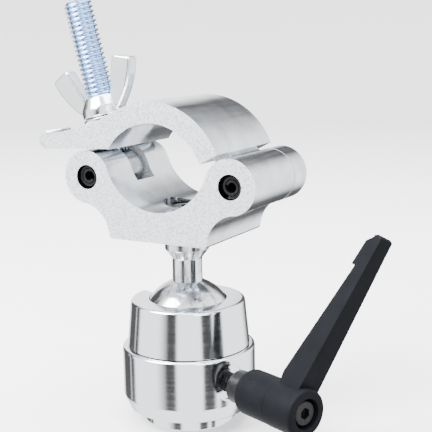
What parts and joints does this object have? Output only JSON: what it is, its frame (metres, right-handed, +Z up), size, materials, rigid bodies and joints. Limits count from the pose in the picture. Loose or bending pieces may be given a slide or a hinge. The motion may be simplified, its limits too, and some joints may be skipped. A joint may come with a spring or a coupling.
{
  "type": "tube clamp on a lockable ball head",
  "caption": "Half coupler for a 48 to 51 mm tube on a ball head that tilts, drops into a side notch and is locked by a side lever.",
  "frame": {"origin": "centre of the housing's flat bottom, on the axis of its tapped hole", "axes": "+Z up along the housing's axis, the clamped tube runs along Y, the wing bolt is on the -X side and the jaw's hinge on the +X side"},
  "size_m": [0.1611, 0.0651, 0.1835],
  "materials": {
    "sawn_aluminium": "satin",
    "polished_aluminium": "polished",
    "chromed_steel": "polished",
    "blue_zinc": "blue zinc plate",
    "bright_zinc": "bright zinc plate",
    "black_steel": "black oxide",
    "charcoal_coat": "fine textured powder coat",
    "nylon": "natural",
    "brass": "machined"
  },
  "bodies": {
    "base": {"housing": "polished_aluminium", "base_plug": "polished_aluminium", "disc_spring": "black_steel", "lower_seat": "brass", "cap": "polished_aluminium", "upper_seat": "nylon"},
    "ball": {"ball_stud": "chromed_steel"},
    "clamp": {"saddle": "sawn_aluminium", "saddle_screw": "black_steel", "lock_washer": "bright_zinc", "hinge_pin": "black_steel", "bolt_pin": "black_steel"},
    "jaw": {"upper_jaw": "sawn_aluminium"},
    "bolt": {"swing_bolt": "blue_zinc"},
    "washer": {"washer": "bright_zinc"},
    "nut": {"wing_nut": "bright_zinc"},
    "pad": {"pressure_pad": "brass"},
    "lever": {"lever_stud": "black_steel", "lever_collar": "black_steel", "lever_hub": "charcoal_coat", "lever_screw": "black_steel", "lever_spring": "bright_zinc"},
    "handle": {"lever_handle": "charcoal_coat"}
  },
  "joints": [
    {"name": "ball_tilt", "type": "hinge", "parent": "base", "child": "ball", "pos_m": [0, 0, 0.0432], "axis": [-0.3665, -0.9304, 0], "range_deg": [-20, 90]},
    {"name": "clamp_swivel", "type": "hinge", "parent": "ball", "child": "clamp", "pos_m": [0, 0, 0.0432], "axis": [0, 0, 1], "continuous": true},
    {"name": "jaw_open", "type": "hinge", "parent": "clamp", "child": "jaw", "pos_m": [0.0345, 0, 0.1085], "axis": [0, 1, 0], "range_deg": [0, 30]},
    {"name": "bolt_swing", "type": "hinge", "parent": "clamp", "child": "bolt", "pos_m": [-0.0345, 0, 0.1085], "axis": [0, 1, 0], "range_deg": [0, 27]},
    {"name": "nut_travel", "type": "slide", "parent": "bolt", "child": "washer", "axis": [-0.2588, 0, 0.9659], "range_m": [0, 0.046]},
    {"name": "nut_spin", "type": "hinge", "parent": "washer", "child": "nut", "pos_m": [-0.0345, 0, 0.1085], "axis": [-0.2588, 0, 0.9659], "range_deg": [0, 8000]},
    {"name": "pad_travel", "type": "slide", "parent": "base", "child": "pad", "axis": [0.9304, -0.3665, 0], "range_m": [-0.0004, 0.0004]},
    {"name": "lever_turn", "type": "hinge", "parent": "pad", "child": "lever", "pos_m": [0, 0, 0.0225], "axis": [0.9304, -0.3665, 0], "range_deg": [-90, 90]},
    {"name": "handle_lift", "type": "slide", "parent": "lever", "child": "handle", "axis": [0.9304, -0.3665, 0], "range_m": [0, 0.004], "stiffness_N_per_m": 1200, "springref_m": -0.004, "deforming": ["lever_spring"]}
  ],
  "couplings": [
    {"joint": "bolt_swing", "follows": "jaw_open", "ratio": 0.85},
    {"joint": "nut_travel", "follows": "jaw_open", "m_per_rad": 0.0775},
    {"joint": "nut_spin", "follows": "jaw_open", "ratio": 230.05},
    {"joint": "pad_travel", "follows": "lever_turn", "m_per_rad": 0.00019894}
  ]
}
